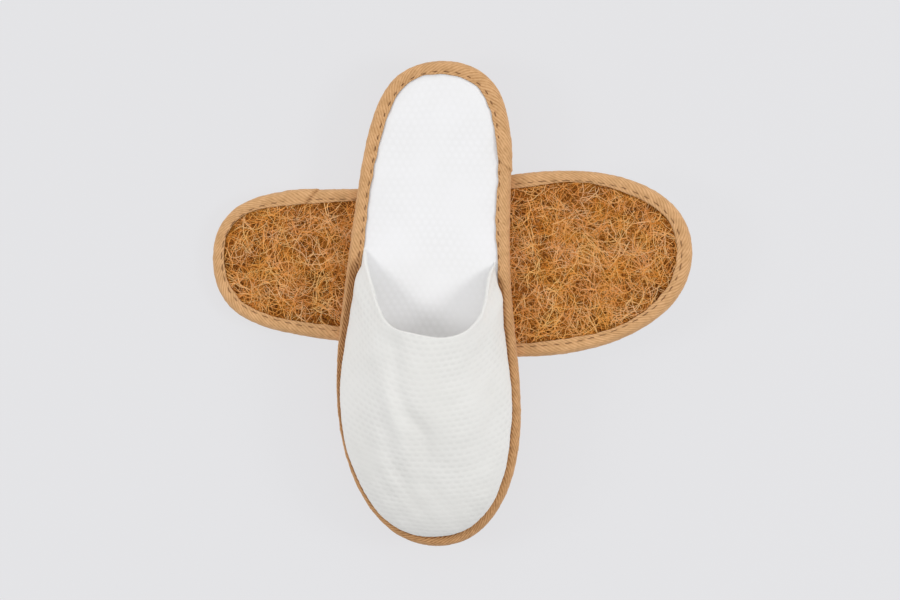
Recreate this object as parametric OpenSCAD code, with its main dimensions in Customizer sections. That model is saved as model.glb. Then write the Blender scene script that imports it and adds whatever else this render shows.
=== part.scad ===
// Pair of closed-toe spa slippers with coir soles. The left slipper lies sole up, with its toe
// towards +X. The right slipper lies face up across it, with its toe towards -Y.

/* [Sole] */
// Length of each sole over the binding tape
sole_length = 286; // [250:1:310]
// Width of each sole over the binding tape, at the ball
sole_width = 109.4; // [98:0.2:120]
// Thickness of the coir outsole under the tape
coir_t = 4.2; // [3:0.1:6]
// Thickness of the foam midsole
midsole_t = 2; // [1.5:0.1:4]
// Thickness of the cushion under the insole cover
cushion_t = 1.2; // [1:0.1:3]
// Thickness of the waffle insole cover
cover_t = 0.9; // [0.9:0.1:1.5]

/* [Binding] */
// Thickness of the twill tape
tape_t = 0.9; // [0.8:0.1:1.2]
// Width of the tape's two flat legs
tape_leg = 8; // [7:0.5:10]
// Distance of the seam from the sole's edge
seam_inset = 6; // [5:0.1:6.2]
// Thickness of the seam's thread
thread_d = 0.5; // [0.3:0.1:0.5]

/* [Upper] */
// Height of the right upper's crown above the insole, at the throat
crown_h = 44; // [34:1:52]
// Height that the squashed left upper would reach if the floor were not there
squashed_h = 33; // [30:1:36]
// How far the throat's crown is ahead of its corners
throat_depth = 47; // [40:1:55]
// How far the upper leans to the big-toe side at the throat
crown_lean = 4; // [0:0.5:6]
// How far the upper bulges out over the tape on the big-toe side
big_toe_bulge = 4.8; // [2:0.2:6]
// How far the upper bulges out over the tape on the little-toe side
little_toe_bulge = 8.5; // [2:0.5:9]

/* [Arrangement] */
// Tilt of both soles, because the left toe end lies on its own upper
tilt = 6; // [5:0.5:6.5]
// Turn of the left slipper about its sole's normal, away from the X axis
left_yaw = 1.2; // [-3:0.1:3]
// Turn of the right slipper about its sole's normal, away from the Y axis
right_yaw = -0.7; // [-3:0.1:3]
// Place of the left slipper's long axis along Y
left_axis_y = 28.3; // [10:0.1:40]
// Place of the right slipper's long axis along X
right_axis_x = -6; // [-20:0.5:10]
// Clearance between the two soles
sole_gap = 0.3; // [0.2:0.1:1]

/* [Hidden] */

coir_colour = [0.62, 0.38, 0.17];
foam_colour = [0.95, 0.94, 0.9];
waffle_colour = [0.96, 0.96, 0.95];
tape_colour = [0.8, 0.61, 0.42];
thread_colour = [0.7, 0.52, 0.33];

// Heights of the layers above the underside of the tape.
coir_top = tape_t + coir_t;
midsole_top = coir_top + midsole_t;
cushion_top = midsole_top + cushion_t;
cover_top = cushion_top + cover_t;
sole_t = cover_top + tape_t;
coir_field_z = 0.2;

// The upper's three layers between its four skins, outer skin first: depths below the outer skin in the
// wall, and in the flange, where the seam presses them flat.
skin_offset = [0, 0.9, 2.1, 2.7];
flange_offset = [0, 0.6, 0.9, 1.5];
flange_z = [for (q = flange_offset) cover_top - q];
wall_gap = 0.5;
wall_inset = tape_leg + wall_gap;
flange_bottom = flange_z[3];
flange_reach = wall_inset + skin_offset[3] + 0.1;
flange_tip = tape_t + 0.15;
edge_r = 1;

// Control points of the right sole's outline, as [distance towards the big-toe side, distance from the
// heel tip], for a sole 109.4 wide and 286 long. They run from the heel tip along the big-toe side.
nominal_size = [109.4, 286];
outline_keys = [
  [-0.5, -3.2], [30.6, 5.6], [42.3, 37], [41, 81], [41, 129], [47, 175], [50.4, 217.5], [43.5, 254],
  [26, 280.5], [0.5, 288.6], [-26.5, 281], [-47, 257], [-59, 222.5], [-61.8, 182.5], [-57, 137], [-51, 89],
  [-44.8, 42], [-31.6, 6.6]
];
n_keys = len(outline_keys);
toe_key = 9;
medial_corner = 3.78;
lateral_corner = 14.58;
steps_per_key = 5;

scale_xy = [sole_width / nominal_size[0], sole_length / nominal_size[1]];

// Point on the closed cubic B-spline of the keys, at t keys from the heel tip, as [x, distance from heel].
function key(i) =
  let (k = outline_keys[(i + n_keys) % n_keys])
  [k[0] * scale_xy[0], k[1] * scale_xy[1]];
function curve(t) =
  let (i = floor(t), u = t - i, a = key(i - 1), b = key(i), c = key(i + 1), d = key(i + 2))
  (pow(1 - u, 3) * a + (3 * pow(u, 3) - 6 * u * u + 4) * b
    + (3 * u + 3 * u * u - 3 * pow(u, 3) + 1) * c + pow(u, 3) * d) / 6;

// The same point moved towards the middle of the sole, in the slipper's frame: +Y towards the heel.
function outward(t) =
  let (v = curve(t + 0.05) - curve(t - 0.05))
  [v[1], v[0]] / norm(v);
function edge(t, inset) =
  let (p = curve(t), n = outward(t))
  [p[0] - n[0] * inset, sole_length / 2 - p[1] - n[1] * inset];
function ring(inset) =
  [for (i = [0 : n_keys * steps_per_key - 1]) edge(i / steps_per_key, inset)];

// The part of the rim that the upper's flange lies in, around the toe.
toe_steps = 48;
function toe_t(i) = medial_corner + (lateral_corner - medial_corner) * i / toe_steps;
flange_zone = [
  for (i = [0 : toe_steps]) edge(toe_t(i), 0),
  for (i = [toe_steps : -1 : 0]) edge(toe_t(i), flange_reach)
];

module plate(inset, z0, z1) {
  translate([0, 0, z0]) linear_extrude(z1 - z0) polygon(ring(inset));
}

module outsole_mat() {
  color(coir_colour) union() {
    plate(tape_t, tape_t, coir_top);
    plate(tape_leg + wall_gap, coir_field_z, tape_t);
  }
}

module midsole() {
  color(foam_colour) plate(tape_t, coir_top, midsole_top);
}

// The rim is pressed thinner where the upper's flange is sewn in.
module insole_cushion() {
  color(foam_colour) difference() {
    plate(tape_t, midsole_top, cushion_top);
    translate([0, 0, flange_bottom]) linear_extrude(cushion_t) polygon(flange_zone);
  }
}

module insole_cover() {
  color(waffle_colour) difference() {
    plate(tape_t, cushion_top, cover_top);
    translate([0, 0, cushion_top - 1]) linear_extrude(cover_t + 2) polygon(flange_zone);
  }
}

// Section of the folded tape as [inset, z], with a groove that the seam pulls into each leg.
groove = [seam_inset + thread_d / 2, seam_inset - thread_d / 2];
groove_depth = 0.35;
corner_cut = 0.3;
tape_section = [
  [tape_leg, 0], [groove[0], 0], [groove[0], groove_depth], [groove[1], groove_depth], [groove[1], 0],
  [edge_r, 0], [corner_cut, corner_cut], [0, edge_r],
  [0, sole_t - edge_r], [corner_cut, sole_t - corner_cut], [edge_r, sole_t],
  [groove[1], sole_t], [groove[1], sole_t - groove_depth], [groove[0], sole_t - groove_depth],
  [groove[0], sole_t], [tape_leg, sole_t], [tape_leg, cover_top], [tape_t, cover_top],
  [tape_t, tape_t], [tape_leg, tape_t]
];

// Closed band with the given section all round the sole.
module band(section) {
  n = len(section);
  rings = n_keys * steps_per_key;
  points = [
    for (i = [0 : rings - 1], s = section)
      let (p = edge(i / steps_per_key, s[0])) [p[0], p[1], s[1]]
  ];
  faces = [
    for (i = [0 : rings - 1], j = [0 : n - 1])
      let (a = i * n + j, b = i * n + (j + 1) % n, c = ((i + 1) % rings) * n)
      each [[a, c + j, b], [b, c + j, c + (j + 1) % n]]
  ];
  polyhedron(points, faces);
}

module binding_tape() {
  color(tape_colour) band(tape_section);
}

module thread_ring(z0) {
  translate([0, 0, z0]) linear_extrude(groove_depth) difference() {
    polygon(ring(groove[1]));
    polygon(ring(groove[0]));
  }
}

// Needle thread on top of the sole and bobbin thread under it.
module seam_thread() {
  color(thread_colour) {
    thread_ring(0);
    thread_ring(sole_t - groove_depth);
  }
}

// The upper is a row of ribs from the toe tip (s = 0) to the throat (s = 1). Each rib runs from the
// big-toe side (a = 0) over the crown (a = 90) to the little-toe side (a = 180).
ribs = 16;
rib_steps = 20;
side_power = 0.86;
throat_power = 1;
crown_lead_power = 1.5;
lean_rate = 1.8;
bulge_start = tape_t + 0.3;
bulge_height = 30;
// Share of the bulge at places from the toe (0) to the rim (1). Below 0 the wall leans in.
big_toe_shares = [[0, 0.45], [0.8, 0.76], [0.95, 0.76], [1, -0.7]];
little_toe_shares = [[0, 0.45], [0.7, 0.85], [0.88, 0.66], [0.95, 0.66], [1, 0.1]];
throat_start = 0.7;
// The rim is cut lower at both sides: how deep, where on the way across, and how wide.
big_toe_cut = [3.5, 0.17, 0.16];
little_toe_cut = [8.5, 0.86, 0.18];
// The rim's lowest point is pulled towards the big toe.
notch_shift = [3, 1.5];
notch_start = 0.75;

function medial_t(s) = toe_key + (medial_corner - toe_key) * s;
function lateral_t(s) = toe_key + (lateral_corner - toe_key) * s;
function rib_height(s, top) = top * sin(90 * s);
function ease(u) = u < 0 ? 0 : u > 1 ? 1 : u * u * (3 - 2 * u);
function past(s, start) = ease((s - start) / (1 - start));
function bell(side, middle, width) = exp(-pow((side - middle) / width, 2));
function cut_depth(side, cut) = cut[0] * bell(side, cut[1], cut[2]);
// Smooth steps between the [place, value] pairs of a table, level at each pair.
function eased(s, table, i = 1) =
  i == len(table) ? table[0][1] :
    (table[i][1] - table[i - 1][1]) * ease((s - table[i - 1][0]) / (table[i][0] - table[i - 1][0]))
      + eased(s, table, i + 1);
// How far the upper bulges out at s, on the big-toe side (side = 0) to the little-toe side (side = 1).
function bulge(s, side) =
  let (
    big = big_toe_bulge * eased(s, big_toe_shares),
    little = little_toe_bulge * eased(s, little_toe_shares)
  )
  big + (little - big) * side;
// Height of the floor over the upturned left sole, in the slipper's frame.
function floor_z(x, y) =
  sole_t + (sole_length / 2 - edge_r - x * sin(left_yaw) - y * cos(left_yaw)) * tan(tilt);

// One point of a skin: k is the skin, top the crown's height at the throat, flat whether the floor stops it.
function skin_point(k, s, a, top, flat) =
  let (
    q = skin_offset[k],
    m = edge(medial_t(s), wall_inset + q),
    l = edge(lateral_t(s), wall_inset + q),
    power = side_power + (throat_power - side_power) * past(s, throat_start),
    across = sign(cos(a)) * pow(abs(cos(a)), power),
    up = pow(sin(a), power),
    height = rib_height(s, top),
    side = (1 - cos(a)) / 2,
    out = outward(medial_t(s) + (lateral_t(s) - medial_t(s)) * side),
    rise = min(1, max(0, height * up - bulge_start) / bulge_height),
    swell = bulge(s, side) * 6.75 * rise * pow(1 - rise, 2),
    lean = crown_lean * s * sin(90 * min(1, lean_rate * up)),
    notch = bell(side, 0.45, 0.2) * past(s, notch_start),
    cut = (cut_depth(side, big_toe_cut) + cut_depth(side, little_toe_cut)) * sqrt(max(0, up))
      * past(s, throat_start),
    x = (m[0] + l[0]) / 2 + (m[0] - l[0]) / 2 * across + out[0] * swell + lean + notch_shift[0] * notch,
    y = (m[1] + l[1]) / 2 + (m[1] - l[1]) / 2 * across + out[1] * swell
      - throat_depth * pow(s, crown_lead_power) * up - notch_shift[1] * notch - cut,
    z = flange_z[k] + (cover_top - flange_z[k] + height - q) * up
  )
  [x, y, flat ? min(z, floor_z(x, y) - q) : z];

// All points of a skin: flange tip and wall foot at the toe, then each rib with its flange ends.
function skin(k, top, flat) = [
  let (p = edge(toe_key, flange_tip)) [p[0], p[1], flange_z[k]],
  let (p = edge(toe_key, wall_inset + skin_offset[k])) [p[0], p[1], flange_z[k]],
  for (i = [1 : ribs])
    let (s = i / ribs, m = edge(medial_t(s), flange_tip), l = edge(lateral_t(s), flange_tip))
    each [
      [m[0], m[1], flange_z[k]],
      for (j = [0 : rib_steps]) skin_point(k, s, 180 * j / rib_steps, top, flat),
      [l[0], l[1], flange_z[k]]
    ]
];

rib_points = rib_steps + 3;
function rib_index(i, j) =
  i > 0 ? 2 + (i - 1) * rib_points + j : (j == 0 || j == rib_points - 1 ? 0 : 1);
function quad(a, b, c, d) =
  [if (a != b && b != c && a != c) [a, b, c], if (a != c && c != d && a != d) [a, c, d]];

// Solid layer of the upper between skins k and k + 1.
module upper_layer(k, top, flat) {
  outer = skin(k, top, flat);
  inner = skin(k + 1, top, flat);
  n = len(outer);
  last = rib_points - 1;
  faces = [
    for (i = [0 : ribs - 1], j = [0 : last - 1])
      let (a = rib_index(i, j), b = rib_index(i, j + 1), c = rib_index(i + 1, j + 1), d = rib_index(i + 1, j))
      each concat(quad(a, b, c, d), quad(n + a, n + d, n + c, n + b)),
    for (i = [0 : ribs - 1])
      let (a = rib_index(i, 0), d = rib_index(i + 1, 0), b = rib_index(i, last), c = rib_index(i + 1, last))
      each concat(quad(n + a, a, d, n + d), quad(b, n + b, n + c, c)),
    for (j = [0 : last - 1])
      let (d = rib_index(ribs, j), c = rib_index(ribs, j + 1))
      each quad(d, c, n + c, n + d)
  ];
  polyhedron(concat(outer, inner), faces);
}

module upper_shell(top, flat) { color(waffle_colour) upper_layer(0, top, flat); }
module upper_padding(top, flat) { color(foam_colour) upper_layer(1, top, flat); }
module upper_lining(top, flat) { color(waffle_colour) upper_layer(2, top, flat); }

// The left slipper leans on its heel's edge at x = left_pivot_x.
left_x_low = -edge_r * cos(tilt) - (sole_t - edge_r) * sin(tilt);
left_x_high = (sole_length - edge_r) * cos(tilt) - edge_r * sin(tilt);
left_pivot_x = -(left_x_low + left_x_high) / 2;
right_z = (right_axis_x - left_pivot_x) * tan(tilt) + (sole_t + sole_gap) / cos(tilt);

module place_left() {
  translate([left_pivot_x, left_axis_y, 0])
    rotate([0, -tilt, 0])
      translate([sole_length / 2 - edge_r, 0, sole_t])
        rotate([0, 0, 90 + left_yaw])
          rotate([0, 180, 0])
            mirror([1, 0, 0])
              children();
}

module place_right() {
  translate([right_axis_x, 0, right_z]) rotate([0, -tilt, 0]) rotate([0, 0, right_yaw]) children();
}

place_left() outsole_mat();  // left_outsole_mat
place_left() midsole();  // left_midsole
place_left() insole_cushion();  // left_insole_cushion
place_left() insole_cover();  // left_insole_cover
place_left() binding_tape();  // left_binding_tape
place_left() seam_thread();  // left_seam_thread
place_left() upper_shell(squashed_h, true);  // left_upper_shell
place_left() upper_padding(squashed_h, true);  // left_upper_padding
place_left() upper_lining(squashed_h, true);  // left_upper_lining
place_right() outsole_mat();  // right_outsole_mat
place_right() midsole();  // right_midsole
place_right() insole_cushion();  // right_insole_cushion
place_right() insole_cover();  // right_insole_cover
place_right() binding_tape();  // right_binding_tape
place_right() seam_thread();  // right_seam_thread
place_right() upper_shell(crown_h, false);  // right_upper_shell
place_right() upper_padding(crown_h, false);  // right_upper_padding
place_right() upper_lining(crown_h, false);  // right_upper_lining
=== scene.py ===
import math

import bpy
import numpy as np
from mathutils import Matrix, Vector
from mathutils.kdtree import KDTree


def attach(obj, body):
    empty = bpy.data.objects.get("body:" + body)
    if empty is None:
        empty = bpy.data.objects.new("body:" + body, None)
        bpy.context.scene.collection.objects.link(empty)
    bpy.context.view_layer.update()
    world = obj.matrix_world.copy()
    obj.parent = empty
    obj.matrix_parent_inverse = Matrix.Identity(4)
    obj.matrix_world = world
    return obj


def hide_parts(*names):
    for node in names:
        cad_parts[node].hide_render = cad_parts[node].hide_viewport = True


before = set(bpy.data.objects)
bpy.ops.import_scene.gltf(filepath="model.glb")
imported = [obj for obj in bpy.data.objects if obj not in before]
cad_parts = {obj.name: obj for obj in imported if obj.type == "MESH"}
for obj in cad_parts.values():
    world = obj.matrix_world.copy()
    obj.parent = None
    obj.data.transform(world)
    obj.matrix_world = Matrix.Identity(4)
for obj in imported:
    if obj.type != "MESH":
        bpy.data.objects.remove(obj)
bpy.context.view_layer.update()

# A pair of spa slippers. Shapes are worked out in millimetres in one slipper's own frame: +Y towards the
# heel, +X towards the big toe, z = 0 under the binding tape. Each slipper is then placed where the CAD
# model has it.

MM = 0.001

# ---- driving sizes
SOLE_LENGTH = 286.0
TAPE_T = 0.9
COIR_TOP = 5.1
CUSHION_TOP = 8.3
COVER_TOP = 9.2
SOLE_T = 10.1
TAPE_LEG = 8.0
SEAM_INSET = 6.0
WALL_INSET = 8.5
EDGE_R = 1.0
CROWN_H = 44.0
SQUASHED_H = 33.0
THROAT_DEPTH = 47.0
CROWN_LEAN = 4.0
BIG_TOE_BULGE = 4.8
LITTLE_TOE_BULGE = 8.5

TILT = math.radians(6)
LEFT_YAW = math.radians(1.2)
RIGHT_YAW = math.radians(-0.7)
LEFT_AXIS_Y = 28.3
RIGHT_AXIS_X = -6.0
SOLE_GAP = 0.3

# Control points of the right sole's outline, as in the CAD model: distance towards the big-toe side and
# distance from the heel tip, from the heel tip along the big-toe side.
OUTLINE_KEYS = np.array([
    (-0.5, -3.2), (30.6, 5.6), (42.3, 37), (41, 81), (41, 129), (47, 175), (50.4, 217.5), (43.5, 254),
    (26, 280.5), (0.5, 288.6), (-26.5, 281), (-47, 257), (-59, 222.5), (-61.8, 182.5), (-57, 137), (-51, 89),
    (-44.8, 42), (-31.6, 6.6),
], float)
KEY_COUNT = len(OUTLINE_KEYS)
TOE_KEY = 9.0
MEDIAL_CORNER = 3.78
LATERAL_CORNER = 14.58


# ---- outline
def curve(t):
    """Points on the closed cubic B-spline of the keys, at t keys from the heel tip."""
    t = np.asarray(t, float)
    i = np.floor(t).astype(int)
    u = (t - i)[..., None]
    a, b, c, d = (OUTLINE_KEYS[(i + k) % KEY_COUNT] for k in (-1, 0, 1, 2))
    blend_b = 3 * u**3 - 6 * u**2 + 4
    blend_c = 3 * u + 3 * u**2 - 3 * u**3 + 1
    return ((1 - u) ** 3 * a + blend_b * b + blend_c * c + u**3 * d) / 6


def outward(t):
    """Unit normal of the outline in the slipper's frame, pointing away from the sole."""
    v = curve(t + 0.05) - curve(t - 0.05)
    return v[..., ::-1] / np.linalg.norm(v, axis=-1, keepdims=True)


def edge(t, inset):
    """Point at t, moved inwards by inset, in the slipper's frame."""
    p = curve(t)
    xy = np.stack([p[..., 0], SOLE_LENGTH / 2 - p[..., 1]], -1)
    return xy - outward(t) * np.asarray(inset, float)[..., None]


def bell(x, middle, half_width):
    """A smooth bump of height 1."""
    return np.exp(-((x - middle) / half_width) ** 2)


def arc_table(inset):
    """Fine values of t, and the distance along the outline to each, at an inset."""
    fine = np.linspace(0, KEY_COUNT, 7201)
    points = edge(fine, inset)
    steps = np.linalg.norm(np.diff(points, axis=0), axis=1)
    return fine, np.concatenate([[0], np.cumsum(steps)])


def smoothstep(lo, hi, x):
    """0 up to lo, 1 from hi on, and a smooth step between."""
    u = np.clip((x - lo) / (hi - lo), 0, 1)
    return u * u * (3 - 2 * u)


def eased(s, table):
    """Smooth steps between (place, value) pairs, level at each pair."""
    value = table[0][1] + 0 * s
    for (a, low), (b, high) in zip(table, table[1:]):
        value = value + (high - low) * smoothstep(a, b, s)
    return value


def waves(x, y, size, seed, count=14):
    """Smooth seeded noise of about unit height, made of cosine waves near one size."""
    rng = np.random.default_rng(seed)
    total = np.zeros(np.broadcast(x, y).shape)
    for _ in range(count):
        angle = rng.uniform(0, math.tau)
        k = math.tau / (size * rng.uniform(0.7, 1.5))
        total += np.cos(k * (x * math.cos(angle) + y * math.sin(angle)) + rng.uniform(0, math.tau))
    return total / math.sqrt(count / 2)


def mixed_waves(x, y, parts, seed):
    """The sum of waves of several (height, size) parts, each with the next seed."""
    return sum(height * waves(x, y, size, seed + k) for k, (height, size) in enumerate(parts))


# ---- placing
def turn_y(p, angle):
    """Points turned about the Y axis."""
    c, s = math.cos(angle), math.sin(angle)
    return np.stack([p[..., 0] * c + p[..., 2] * s, p[..., 1], -p[..., 0] * s + p[..., 2] * c], -1)


def turn_z(p, angle):
    """Points turned about the Z axis."""
    c, s = math.cos(angle), math.sin(angle)
    return np.stack([p[..., 0] * c - p[..., 1] * s, p[..., 0] * s + p[..., 1] * c, p[..., 2]], -1)


# The tilted lower slipper is centred in X, and the upper one rests on it.
LEFT_X_LOW = -EDGE_R * math.cos(TILT) - (SOLE_T - EDGE_R) * math.sin(TILT)
LEFT_X_HIGH = (SOLE_LENGTH - EDGE_R) * math.cos(TILT) - EDGE_R * math.sin(TILT)
LEFT_PIVOT_X = -(LEFT_X_LOW + LEFT_X_HIGH) / 2
RIGHT_Z = (RIGHT_AXIS_X - LEFT_PIVOT_X) * math.tan(TILT) + (SOLE_T + SOLE_GAP) / math.cos(TILT)


def place_left(p):
    """The left slipper is the right one's mirror image, sole up, with its toe towards +X."""
    flipped = np.stack([p[..., 0], p[..., 1], SOLE_T - p[..., 2]], -1)
    q = turn_z(flipped, math.pi / 2 + LEFT_YAW) + np.array([SOLE_LENGTH / 2 - EDGE_R, 0, 0])
    placed = turn_y(q, -TILT) + np.array([LEFT_PIVOT_X, LEFT_AXIS_Y, 0])
    # Nothing sinks into the floor.
    placed[..., 2] = np.maximum(placed[..., 2], 0.02)
    return placed


def place_right(p):
    """The right slipper lies face up across the left one, with its toe towards -Y."""
    return turn_y(turn_z(p, RIGHT_YAW), -TILT) + np.array([RIGHT_AXIS_X, 0, RIGHT_Z])


PLACES = {"left": place_left, "right": place_right}


# ---- meshes
def add_object(name, data):
    """A new object in the scene."""
    thing = bpy.data.objects.new(name, data)
    bpy.context.scene.collection.objects.link(thing)
    return thing


def make_mesh(name, side, points, faces, material, fabric=None):
    """One piece from points in the slipper's frame and an array, or arrays, of faces.

    fabric holds a vector for each point, for the materials to read. Points past its end get zeros."""
    points = PLACES[side](np.asarray(points, float).reshape(-1, 3)) * MM
    groups = [np.asarray(f, np.int32) for f in (faces if isinstance(faces, list) else [faces])]
    if side == "left":
        groups = [g[:, ::-1] for g in groups]
    loops = np.concatenate([g.ravel() for g in groups])
    totals = np.concatenate([np.full(len(g), g.shape[1], np.int32) for g in groups])
    starts = np.concatenate([[0], np.cumsum(totals)[:-1]]).astype(np.int32)
    mesh = bpy.data.meshes.new(name)
    mesh.vertices.add(len(points))
    mesh.vertices.foreach_set("co", points.ravel())
    mesh.loops.add(len(loops))
    mesh.loops.foreach_set("vertex_index", loops)
    mesh.polygons.add(len(totals))
    mesh.polygons.foreach_set("loop_start", starts)
    mesh.polygons.foreach_set("loop_total", totals)
    mesh.polygons.foreach_set("use_smooth", np.ones(len(totals), bool))
    if fabric is not None:
        vectors = np.zeros(points.shape, np.float32)
        vectors[:len(fabric)] = fabric
        layer = mesh.attributes.new("fabric", "FLOAT_VECTOR", "POINT")
        layer.data.foreach_set("vector", vectors.ravel())
    mesh.update(calc_edges=True)
    mesh.materials.append(material)
    piece = add_object(name, mesh)
    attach(piece, f"{side}_slipper")
    return piece


def grid_quads(rows, columns, wrap_rows=False, start=0):
    """Quads of a grid whose point (i, j) has index start + i * columns + j."""
    i = np.arange(rows if wrap_rows else rows - 1)
    j = np.arange(columns - 1)
    i, j = (m.ravel() for m in np.meshgrid(i, j, indexing="ij"))
    here, following = i * columns + j, (i + 1) % rows * columns + j
    return np.stack([here, following, following + 1, here + 1], 1) + start


def stitch(fine, coarse):
    """Triangles between a fine row of indices and a coarse one, with whole fine steps per coarse step."""
    step = (len(fine) - 1) // (len(coarse) - 1)
    half = step // 2
    faces = []
    for j in range(len(coarse) - 1):
        run = fine[j * step:(j + 1) * step + 1]
        faces += [(run[k], run[k + 1], coarse[j]) for k in range(half)]
        faces.append((run[half], coarse[j + 1], coarse[j]))
        faces += [(run[k], run[k + 1], coarse[j + 1]) for k in range(half, step)]
    return np.array(faces)


def closed_grid(outer, inner):
    """Points and faces of a sheet: a fine outer grid, closed off by a coarse inner one on all four sides."""
    n_outer = outer.shape[0] * outer.shape[1]
    a = np.arange(n_outer).reshape(outer.shape[:2])
    b = n_outer + np.arange(inner.shape[0] * inner.shape[1]).reshape(inner.shape[:2])
    sides = [(a[0], b[0]), (a[:, -1], b[:, -1]), (a[-1, ::-1], b[-1, ::-1]), (a[::-1, 0], b[::-1, 0])]
    points = np.concatenate([outer.reshape(-1, 3), inner.reshape(-1, 3)])
    faces = [grid_quads(*outer.shape[:2]), grid_quads(*inner.shape[:2], start=n_outer)[:, ::-1]]
    faces += [stitch(list(f), list(c))[:, ::-1] for f, c in sides]
    return points, faces


def grid_normals(grid):
    """Unit normals of a grid of points, from its two directions."""
    n = np.cross(np.gradient(grid, axis=0), np.gradient(grid, axis=1))
    return n / np.maximum(np.linalg.norm(n, axis=-1, keepdims=True), 1e-9)


# ---- materials
class Graph:
    """The nodes of a material or of the world, with short ways to add more."""

    def __init__(self, owner):
        owner.use_nodes = True
        self.nodes, self.links = owner.node_tree.nodes, owner.node_tree.links

    def add(self, kind, **values):
        """A new node, with its properties and, by socket name, its inputs set."""
        node = self.nodes.new(kind)
        for key, value in values.items():
            if hasattr(node, key):
                setattr(node, key, value)
            else:
                node.inputs[key].default_value = value
        return node

    def ramp(self, value, stops):
        """The colour for a value, from (place, colour) stops."""
        node = self.add("ShaderNodeValToRGB")
        elements = node.color_ramp.elements
        while len(elements) < len(stops):
            elements.new(0.5)
        for element, (place, colour) in zip(elements, stops):
            element.position = place
            element.color = (*colour, 1)
        self.links.new(value, node.inputs[0])
        return node.outputs[0]

    def math(self, operation, a, b=0):
        """The result of a math node, whose two inputs are numbers or other nodes' outputs."""
        node = self.add("ShaderNodeMath", operation=operation)
        for socket, value in zip(node.inputs, (a, b)):
            if isinstance(value, (int, float)):
                socket.default_value = value
            else:
                self.links.new(value, socket)
        return node.outputs[0]

    def noise(self, vector, scale, detail):
        """Noise in the space of a vector: its value and its colour."""
        node = self.add("ShaderNodeTexNoise", Scale=scale, Detail=detail)
        self.links.new(vector, node.inputs["Vector"])
        return node.outputs["Fac"], node.outputs["Color"]

    def cloud(self, size_mm):
        """Slow noise in the object's own space, with features of about the given size."""
        place = self.add("ShaderNodeTexCoord").outputs["Object"]
        return self.noise(place, 1 / (size_mm * MM), 3.0)[0]

    def thread(self, distance, thread_mm):
        """A wave with one crest per thread."""
        return self.math("SINE", self.math("MULTIPLY", distance, math.tau / thread_mm))

    def fabric(self):
        """The fabric attribute, whole and split in three.

        On cloth that is millimetres one way, millimetres the other way, and the relief or shade from 0 to 1.
        On fibres it is the tone, the place along the fibre, and a number of its own. On the felt it is the
        place itself."""
        whole = self.add("ShaderNodeAttribute", attribute_name="fabric").outputs["Vector"]
        split = self.add("ShaderNodeSeparateXYZ")
        self.links.new(whole, split.inputs[0])
        return whole, split.outputs

    def tinted(self, colour, size_mm, low, high):
        """A colour that drifts between two tints over patches of the given size."""
        mix = self.add("ShaderNodeMix", data_type="RGBA", blend_type="MULTIPLY")
        mix.inputs[0].default_value = 1.0
        self.links.new(colour, mix.inputs[6])
        self.links.new(self.ramp(self.cloud(size_mm), [(0.35, low), (0.65, high)]), mix.inputs[7])
        return mix.outputs[2]


class Surface(Graph):
    """A new material and its Principled shader."""

    def __init__(self, name, roughness, sheen=0.0, specular=0.3):
        self.material = bpy.data.materials.new(name)
        super().__init__(self.material)
        self.inputs = self.nodes["Principled BSDF"].inputs
        self.inputs["Roughness"].default_value = roughness
        self.inputs["Specular IOR Level"].default_value = specular
        self.inputs["Sheen Weight"].default_value = sheen
        self.inputs["Sheen Roughness"].default_value = 0.6
        self.inputs["Sheen Tint"].default_value = (1, 1, 1, 1)

    def finish(self, colour, height, strength, distance_mm):
        """The material, given its colour and a fine relief from a height between 0 and 1."""
        bump = self.add("ShaderNodeBump", Strength=strength, Distance=distance_mm * MM)
        self.links.new(height, bump.inputs["Height"])
        self.links.new(bump.outputs["Normal"], self.inputs["Normal"])
        self.links.new(colour, self.inputs["Base Color"])
        return self.material


def waffle_material(name, pit, ridge, thread_mm):
    """White waffle cloth: pits a little darker than ridges as painted shade, fine threads both ways, faint
    uneven tone.
    """
    cloth = Surface(name, 0.9, sheen=0.1, specular=0.15)
    vector, (across, along, relief) = cloth.fabric()
    # Painted shade: the pit colour is darker than the ridge colour.
    tone = cloth.ramp(relief, [(0.0, pit), (0.8, ridge)])
    colour = cloth.tinted(tone, 30, (0.975, 0.975, 0.97), (1, 1, 1))
    weave = cloth.math("MAXIMUM", cloth.thread(across, thread_mm), cloth.thread(along, thread_mm))
    soft = cloth.math("MULTIPLY", cloth.noise(vector, 2.2, 2.0)[0], 1.5)
    return cloth.finish(colour, cloth.math("ADD", weave, soft), 0.4, 0.05)


def tape_material():
    """Tan cotton twill: ridges lighter on top and darker between as painted light and shade, short yarns
    along each ridge.
    """
    cloth = Surface("twill_tape", 0.85, sheen=0.1, specular=0.2)
    vector, (_, along, relief) = cloth.fabric()
    tone = cloth.ramp(relief, [
        (0.0, (0.20, 0.075, 0.022)), (0.3, (0.50, 0.252, 0.10)), (0.65, (0.71, 0.407, 0.187)),
        (1.0, (0.82, 0.505, 0.255)),
    ])
    colour = cloth.tinted(tone, 4, (0.90, 0.88, 0.84), (1.05, 1.05, 1.07))
    soft = cloth.math("MULTIPLY", cloth.noise(vector, 3.5, 3.0)[0], 2.5)
    return cloth.finish(colour, cloth.math("ADD", cloth.thread(along, 0.62), soft), 0.5, 0.05)


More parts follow.
